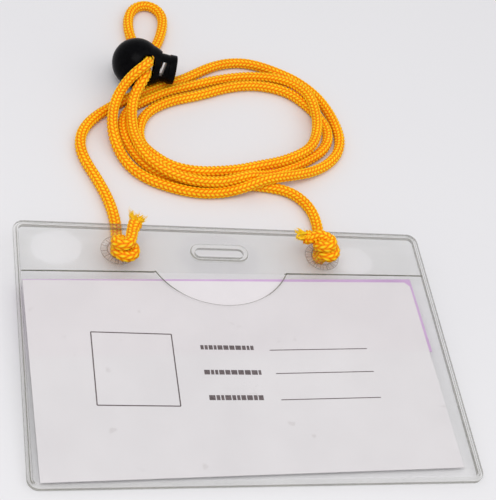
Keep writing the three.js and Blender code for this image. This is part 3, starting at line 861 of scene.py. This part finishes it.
def make_pocket():
    supple_sheet("vinyl_back", "back_sheet", BACK_VINYL)
    supple_sheet("vinyl_header", "header_sheet", HEADER_VINYL, header_lift)
    supple_sheet("vinyl_front", "front_sheet", FRONT_VINYL, front_lift)
    middle = np.array([0, POCKET_H / 2])
    loop, normals = rounded_loop(POCKET_W, POCKET_H, BORDER_CORNER, middle)
    border = swept_loop(
        "welded_border", loop, normals, BORDER_PROFILE, BORDER_LINES, INNER_BORDER_LINES
    )
    settle_in(border, "holder", "clear_vinyl", "border_weld")
    low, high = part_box("slot_rim")
    middle = np.array([(low[0] + high[0]) / 2, RIM_MIDDLE_Y])
    loop, normals = rounded_loop(RIM_W, RIM_H, RIM_H / 2, middle, per_corner=14)
    rim = swept_loop("strap_slot_rim", loop, normals, SLOT_PROFILE, SLOT_LINES)
    settle_in(rim, "holder", "clear_vinyl", "slot_rim")


# The cut edges of the front ply, with its thumb notch, and of the header ply just above it, in
# millimetres: where they run, how high over the pocket's underside, and the radii of their beads.
MOUTH_LEFT, MOUTH_RIGHT, HEADER_GAP = 64.5, 66.4, 0.8
NOTCH_X, NOTCH_Y, NOTCH_R = -2.7, 75.5, 21.2
SHEET_SIDE = 57.35
MOUTH_Z, HEADER_EDGE_Z = 1.62, 0.58
MOUTH_BEAD, HEADER_BEAD = (0.17, 0.17), (0.13, 0.13)
NOTCH_BEAD = (0.17, 0.13, 0.06, 0.05, 0.05, 0.05, 0.06, 0.13, 0.17)


def mouth_height(x):
    """The mouth slopes a little between the pocket's two sides."""
    width = POCKET_W / MM
    return MOUTH_LEFT + (x / width + 0.5) * (MOUTH_RIGHT - MOUTH_LEFT)


def edge_bead(points, radii, lift=front_lift):
    """A bead along a cut edge, from pocket points in millimetres."""
    line = spline(points, 1.0)
    size = np.interp(np.linspace(0, 1, len(line)), np.linspace(0, 1, len(radii)), radii)
    line = line * MM
    line[:, 2] += lift(line[:, 0], line[:, 1])
    return soft_tube(on_pocket(line), size * MM, 8)


def make_edges():
    reach = math.acos((NOTCH_Y - mouth_height(NOTCH_X)) / NOTCH_R)
    left, right = NOTCH_X - NOTCH_R * math.sin(reach), NOTCH_X + NOTCH_R * math.sin(reach)
    parts = []
    for start, end in ((-SHEET_SIDE, left), (right, SHEET_SIDE)):
        xs = np.linspace(start, end, 6)
        parts.append(edge_bead([(x, mouth_height(x), MOUTH_Z) for x in xs], MOUTH_BEAD))
        header_edge = [(x, mouth_height(x) + HEADER_GAP, HEADER_EDGE_Z) for x in xs]
        parts.append(edge_bead(header_edge, HEADER_BEAD, header_lift))
    angles = np.linspace(-reach, reach, 25) - math.pi / 2
    across, up = NOTCH_X + NOTCH_R * np.cos(angles), NOTCH_Y + NOTCH_R * np.sin(angles)
    parts.append(edge_bead([(x, y, MOUTH_Z) for x, y in zip(across, up)], NOTCH_BEAD))
    vertices, faces = joined(parts)
    # Painted shade: the beads are dark tubes standing in for the line that refraction draws along
    # each cut edge.
    beads = new_piece("ply_edges", vertices, faces, SHADE_LINE_VINYL)
    settle_in(beads, "holder", "clear_vinyl")


# The washer's section: radius, height and the share of a rib's height there. WASHER_LINES are the
# segments painted as dark shade lines at its edges.
WASHER_SECTION = [
    (2.9, 0.8, 0), (4.86, 0.8, 0), (4.95, 0.9, 0), (4.95, 1.0, 0), (4.85, 1.1, 0.2),
    (4.6, 1.12, 0.9), (4.2, 1.1, 1), (3.7, 1.1, 1), (3.3, 1.12, 0.9), (3.05, 1.16, 0.3),
    (2.92, 1.1, 0), (2.9, 1.0, 0),
]
WASHER_LINES = (1, 2, 3, 8, 9, 10)
WASHER_RIBS, POINTS_PER_RIB, RIB_HEIGHT = 14, 10, 0.24 * MM


def make_washer(side):
    """The eyelet's clear washer, with rounded radial ribs on its face."""
    around = WASHER_RIBS * POINTS_PER_RIB
    angle = 2 * np.pi * np.arange(around)[:, None] / around
    profile = np.array(WASHER_SECTION) * (MM, MM, RIB_HEIGHT)
    rib = np.clip(np.cos(WASHER_RIBS * angle), 0, 1) ** 1.5
    radius = profile[:, 0] + 0 * angle
    height = profile[:, 1] + profile[:, 2] * rib
    x = EYELETS[side] + radius * np.cos(angle)
    y = EYELET_Y + radius * np.sin(angle)
    vertices = on_pocket(np.stack([x, y, height], axis=-1).reshape(-1, 3))
    faces = grid_faces(around, len(profile), close_rows=True)[:, ::-1]
    washer = new_piece(f"ribbed_washer_{side}", vertices, faces.tolist(), CLEAR_PLASTIC)
    washer.data.materials.append(PLASTIC_SHADE_LINE)
    column = np.arange(len(profile))[None, :]
    # Painted shade: the sides of each rib take the dark line material.
    shaded_flank = (np.abs(np.cos(WASHER_RIBS * angle) - 0.3) < 0.35) & (column > 3) & (column < 8)
    line = np.isin(column, WASHER_LINES) | shaded_flank
    washer.data.polygons.foreach_set("material_index", line.reshape(-1).astype(np.int32))
    settle_in(washer, "holder", "clear_plastic", f"eyelet_washer_{side}")
    dress_node(f"eyelet_{side}", CLEAR_PLASTIC)


def dress_node(name, material):
    """Gives a CAD node its Blender material."""
    slots = frame["nodes"][name].data.materials
    slots.clear()
    slots.append(material)


# ---- Paper ----


def paper_material(name, low, high):
    """Paper whose colour wanders between low and high, with a fine tooth."""
    nodes = Nodes(name)
    colour = nodes.mottle(low, high, 60.0, 4.0, 0.6)
    fibres = nodes.noise(2600.0, 3.0)
    tooth = nodes.greys(fibres, (0.2, 0.97), (0.8, 1.0))
    colour = nodes.blend(1.0, colour, tooth, mode="MULTIPLY")
    nodes.feed("Base Color", colour)
    nodes.set(Roughness=0.9)
    nodes.bump(fibres, 0.15, 0.00005)
    return nodes, colour


SLIP_LOW_EDGE = (-1.5, 38.95)
SLIP_SLOPE = math.tan(math.radians(1.8))
SLIP_EDGE_SHARPNESS = 700.0  # the slip's edge shows as a step of 1 / 700 m


def card_material():
    """White card, lightly smudged, and faintly pink where the purple slip shows through it."""
    nodes, colour = paper_material("card_paper", (0.73, 0.705, 0.715), (0.77, 0.745, 0.755))
    place = nodes.add("ShaderNodeSeparateXYZ")
    nodes.join(nodes.place(), place.inputs[0])
    x, y, _ = on_pocket([(SLIP_LOW_EDGE[0] * MM, SLIP_LOW_EDGE[1] * MM, 0)])[0]
    climb = nodes.math("MULTIPLY", nodes.math("SUBTRACT", place.outputs["X"], x), SLIP_SLOPE)
    above = nodes.math("SUBTRACT", nodes.math("SUBTRACT", place.outputs["Y"], y), climb)
    share = nodes.math("ADD", nodes.math("MULTIPLY", above, SLIP_EDGE_SHARPNESS), 0.5)
    tint = nodes.ramp(share, (0.0, (1.0, 1.0, 1.0)), (1.0, (1.0, 0.985, 0.99)))
    colour = nodes.blend(1.0, colour, tint, mode="MULTIPLY")
    smudges = nodes.ramp(nodes.noise(230.0, 2.0), (0.7, (1.0,) * 3), (0.76, (0.9, 0.89, 0.885)))
    colour = nodes.blend(1.0, colour, smudges, mode="MULTIPLY")
    nodes.feed("Base Color", colour)
    return nodes.material


def ink_material():
    nodes = Nodes("printed_ink")
    nodes.feed("Base Color", nodes.mottle((0.075, 0.055, 0.06), (0.15, 0.115, 0.12), 1800.0, 2.0))
    nodes.set(Roughness=0.75)
    return nodes.material


# The print, in millimetres on the pocket: a frame for a picture, the rules to fill in, and a row of
# bars before each rule, as its left side, right side, baseline and height.
PRINT_LOW, PRINT_HIGH = 1.352, 1.37
PICTURE_FRAME = [(-40.6, 23.1), (-19.3, 22.8), (-19.2, 44.9), (-40.5, 45.3)]
RULES = [((7.1, 40.2), (34.9, 41.1)), ((7.6, 32.8), (35.3, 33.7)), ((7.7, 24.7), (35.5, 25.5))]
FRAME_LINE, RULE_LINE = 0.32, 0.26
BAR_ROWS = [(-11.8, 3.1, 40.2, 1.364), (-11.8, 4.3, 32.4, 1.426), (-11.5, 3.0, 24.6, 1.488)]
BAR_WIDTHS, BAR_GAP, BAR_LEAST = (0.7, 1.7), 0.28, 0.5


def printed(outline):
    """A printed shape with four corners, a hair's breadth thick over the card."""
    low = [(*point, PRINT_LOW) for point in outline]
    high = [(*point, PRINT_HIGH) for point in outline]
    faces = [[3, 2, 1, 0], [4, 5, 6, 7], [0, 1, 5, 4], [1, 2, 6, 5], [2, 3, 7, 6], [3, 0, 4, 7]]
    return np.array(low + high) * MM, faces


def printed_line(start, end, thickness):
    """A printed line between two points."""
    start, end = np.array(start, dtype=float), np.array(end, dtype=float)
    along = (end - start) / np.linalg.norm(end - start)
    side = np.array([-along[1], along[0]]) * thickness / 2
    return printed([start - side, end - side, end + side, start + side])


def bar_row(start, end, baseline, height):
    """A stand-in for a printed label: a row of plain bars of different widths."""
    parts = []
    x = start
    while x < end - BAR_LEAST:
        width = rng.uniform(*BAR_WIDTHS)
        right, top = min(x + width, end), baseline + height
        parts.append(printed([(x, baseline), (right, baseline), (right, top), (x, top)]))
        x += width + BAR_GAP
    return parts


def make_paper():
    dress_node("insert_card", card_material())
    purple, _ = paper_material("purple_paper", (0.56, 0.36, 0.6), (0.66, 0.45, 0.7))
    dress_node("backing_slip", purple.material)
    corners = zip(PICTURE_FRAME, PICTURE_FRAME[1:] + PICTURE_FRAME[:1])
    parts = [printed_line(*ends, FRAME_LINE) for ends in corners]
    parts += [printed_line(*ends, RULE_LINE) for ends in RULES]
    for row in BAR_ROWS:
        parts += bar_row(*row)
    vertices, faces = joined(parts)
    ink = new_piece("card_print", on_pocket(vertices), faces, ink_material(), smooth=False)
    settle_in(ink, "insert", "card_paper")


# ---- Cord lock ----


def turned(profile, segments=96):
    """A solid turned about the lock's X axis, from (distance along it, radius) in millimetres."""
    profile = np.array(profile, dtype=float)
    angle = 2 * np.pi * np.arange(segments)[:, None] / segments
    along, radius = profile[:, 0] + 0 * angle, profile[:, 1]
    points = np.stack([along, radius * np.cos(angle), radius * np.sin(angle)], axis=-1)
    mesh = bmesh.new()
    vertices = [mesh.verts.new(point) for point in (points.reshape(-1, 3) * MM).tolist()]
    for face in grid_faces(segments, len(profile), close_rows=True, close_columns=False):
        mesh.faces.new([vertices[index] for index in face])
    bmesh.ops.remove_doubles(mesh, verts=mesh.verts, dist=1e-6)
    bmesh.ops.dissolve_degenerate(mesh, dist=1e-7, edges=mesh.edges)
    bmesh.ops.recalc_face_normals(mesh, faces=mesh.faces)
    return mesh


CUTTER_REACH = 10 * MM


def cutter(loop):
    """A prism along the lock's cross hole, from its outline in millimetres, as a mesh."""
    mesh = bmesh.new()
    near = [mesh.verts.new((x * MM, -CUTTER_REACH, z * MM)) for x, z in loop]
    far = [mesh.verts.new((x * MM, CUTTER_REACH, z * MM)) for x, z in loop]
    count = len(loop)
    for index in range(count):
        after = (index + 1) % count
        mesh.faces.new([near[index], near[after], far[after], far[index]])
    mesh.faces.new(near[::-1])
    mesh.faces.new(far)
    bmesh.ops.recalc_face_normals(mesh, faces=mesh.faces)
    return mesh


def cut_and_eased(name, body, tool, material, ease):
    """body less tool, with its sharp edges eased, placed in the lock."""
    solid = as_object(name, body, material)
    hole = as_object(name + "_cutter", tool)
    cut = solid.modifiers.new("cut", "BOOLEAN")
    cut.operation = "DIFFERENCE"
    cut.solver = "EXACT"
    cut.object = hole
    bevel = solid.modifiers.new("ease", "BEVEL")
    bevel.width = ease
    bevel.segments = 3
    bevel.limit_method = "ANGLE"
    bevel.angle_limit = math.radians(50)
    graph = bpy.context.evaluated_depsgraph_get()
    data = bpy.data.meshes.new_from_object(solid.evaluated_get(graph), depsgraph=graph)
    bpy.data.objects.remove(hole)
    bpy.data.objects.remove(solid)
    points = np.array([vertex.co for vertex in data.vertices])
    data.vertices.foreach_set("co", in_lock(points).reshape(-1))
    data.update()
    data.shade_smooth()
    data.set_sharp_from_angle(angle=math.radians(35))
    return placed(name, data)


def black_plastic():
    nodes = Nodes("black_plastic")
    grain = nodes.noise(900.0, 3.0)
    colour = nodes.ramp(grain, (0.3, (0.0012, 0.0012, 0.0016)), (0.7, (0.0032, 0.0032, 0.004)))
    nodes.feed("Base Color", colour)
    scuffs = nodes.noise(240.0, 5.0, 0.7)
    nodes.feed("Roughness", nodes.greys(scuffs, (0.35, 0.2), (0.75, 0.42)))
    nodes.bump(grain, 0.08, 0.00005)
    nodes.set(Specular_IOR_Level=0.035)
    return nodes.material


def spring_steel():
    nodes = Nodes("spring_steel")
    nodes.feed("Base Color", nodes.mottle((0.5, 0.5, 0.52), (0.66, 0.66, 0.68), 700.0, 2.0))
    nodes.set(Metallic=1.0, Roughness=0.3)
    return nodes.material


# The barrel, in millimetres in the lock's frame: a ball that narrows to a collar, round the
# plunger's bore and the spring's narrower seat, and its cross hole for the two strands.
BALL_R, BALL_ENDS_R = 7.65, 6.25
COLLAR_R, BORE_R, MOUTH_X = 5.1, 4.65, 7.2
BORE_END_X, SEAT_R, SEAT_END_X = -3.4, 2.6, -6
BARREL_HOLE = {"width": 4.5, "height": 7.8, "radius": 2.2}
BARREL_EASE, BUTTON_EASE = 0.25 * MM, 0.2 * MM

# The plunger's section, with a groove before its flange, as (distance along the axis, radius).
PLUNGER = [
    (0, 0), (0, 3.9), (0.5, 4.4), (6.3, 4.5), (8.6, 4.42), (9.3, 4.32), (9.75, 4.32), (9.88, 4.42),
    (10.02, 4.55), (11.7, 4.55), (11.98, 4.43), (12.15, 4.1), (12.2, 3.8), (12.2, 0),
]
# The plunger's window: tall where the strands pass, and a slanted slit beyond the barrel's mouth.
WINDOW = [
    (1.3, -3.4), (6, -3.4), (7.2, -2.2), (8.15, -2.2), (8.4, -1.9), (9.05, 1.9), (8.8, 2.2),
    (7.9, 2.2), (7.4, 0), (7.3, 2.4), (6, 3.4), (1.3, 3.4),
]


def barrel_section():
    start = math.asin(BALL_ENDS_R / BALL_R)
    ball = [(BALL_R * math.cos(a), BALL_R * math.sin(a)) for a in np.linspace(math.pi, start, 48)]
    ball[0] = (-BALL_R, 0)
    collar = [
        (5.3, 5.95), (6.3, 5.5), (MOUTH_X - 0.15, COLLAR_R), (MOUTH_X - 0.04, COLLAR_R - 0.06),
        (MOUTH_X, COLLAR_R - 0.2), (MOUTH_X, BORE_R + 0.1), (MOUTH_X - 0.1, BORE_R),
    ]
    inside = [(BORE_END_X, BORE_R), (BORE_END_X, SEAT_R), (SEAT_END_X, SEAT_R), (SEAT_END_X, 0)]
    return ball + collar + inside


def make_lock():
    black = black_plastic()
    middle = np.array([HOLE_X / MM, 0])
    hole, _ = rounded_loop(**BARREL_HOLE, middle=middle, spacing=10)
    body = cut_and_eased("lock_ball", turned(barrel_section()), cutter(hole), black, BARREL_EASE)
    settle_in(body, "lock", "black_plastic", "lock_barrel")
    button = cut_and_eased("lock_button", turned(PLUNGER), cutter(WINDOW), black, BUTTON_EASE)
    settle_in(button, "plunger", "black_plastic", "lock_plunger")
    return [body, button]


SPRING_TURNS, SPRING_R, SPRING_WIRE_R = 3.5, 1.9, 0.25 * MM
SPRING_FROM, SPRING_TO = -5.6, -0.4


def make_spring():
    """The plunger's spring, with its end turns closed up."""
    share = np.linspace(0, 1, 160)
    angle = 2 * np.pi * SPRING_TURNS * share
    closed = np.interp(share, [0, 0.12, 0.88, 1], [0, 0.06, 0.94, 1])
    x = SPRING_FROM + (SPRING_TO - SPRING_FROM) * closed
    line = in_lock(np.stack([x, SPRING_R * np.cos(angle), SPRING_R * np.sin(angle)], axis=1) * MM)
    vertices, faces = soft_tube(line, np.full(len(line), SPRING_WIRE_R), 12)
    piece = new_piece("return_spring", vertices, faces, spring_steel())
    settle_in(piece, "lock", "spring_steel", "lock_spring")
    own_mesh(piece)
    return [piece]


# ---- Making the object ----

make_cord(make_knot("left") + make_knot("right") + make_lock() + make_spring())
make_pocket()
make_edges()
make_washer("left")
make_washer("right")
make_paper()

# ---- Floor and light ----


FLOOR_HALF = 1.5
SKY_COLOUR, SKY_STRENGTH = (0.985, 0.98, 1.0, 1), 0.66
LIGHTS_AIM = Vector((0, 0.04, 0))
# Each light's name, place, size and power.
LIGHTS = (
    ("key", (-0.22, -0.28, 0.8), 0.55, 3.0),
    ("fill", (0.5, -0.1, 0.7), 0.7, 1.0),
)


def make_stage():
    nodes = Nodes("floor")
    nodes.feed("Base Color", nodes.mottle((0.775, 0.77, 0.785), (0.80, 0.795, 0.805), 6.0, 2.0))
    nodes.set(Roughness=0.6)
    corners = [(x * FLOOR_HALF, y * FLOOR_HALF, 0) for x, y in ((-1, -1), (1, -1), (1, 1), (-1, 1))]
    floor = new_piece("floor", corners, [(0, 1, 2, 3)], nodes.material, smooth=False)


def make_lights():
    world = bpy.data.worlds.new("studio")
    bpy.context.scene.world = world
    world.use_nodes = True
    sky = world.node_tree.nodes["Background"].inputs
    sky["Color"].default_value = SKY_COLOUR
    sky["Strength"].default_value = SKY_STRENGTH
    for name, at, size, power in LIGHTS:
        data = bpy.data.lights.new(name, "AREA")
        data.size = size
        data.energy = power
        light = placed(name, data)
        light.location = at
        light.rotation_euler = (LIGHTS_AIM - Vector(at)).to_track_quat("-Z", "Y").to_euler()


make_stage()
make_lights()
bpy.context.scene.view_settings.view_transform = "Standard"
# Light crosses many clear faces at the eyelets: two plies, a washer, a flange and the border.
bpy.context.scene.cycles.transparent_max_bounces = 32
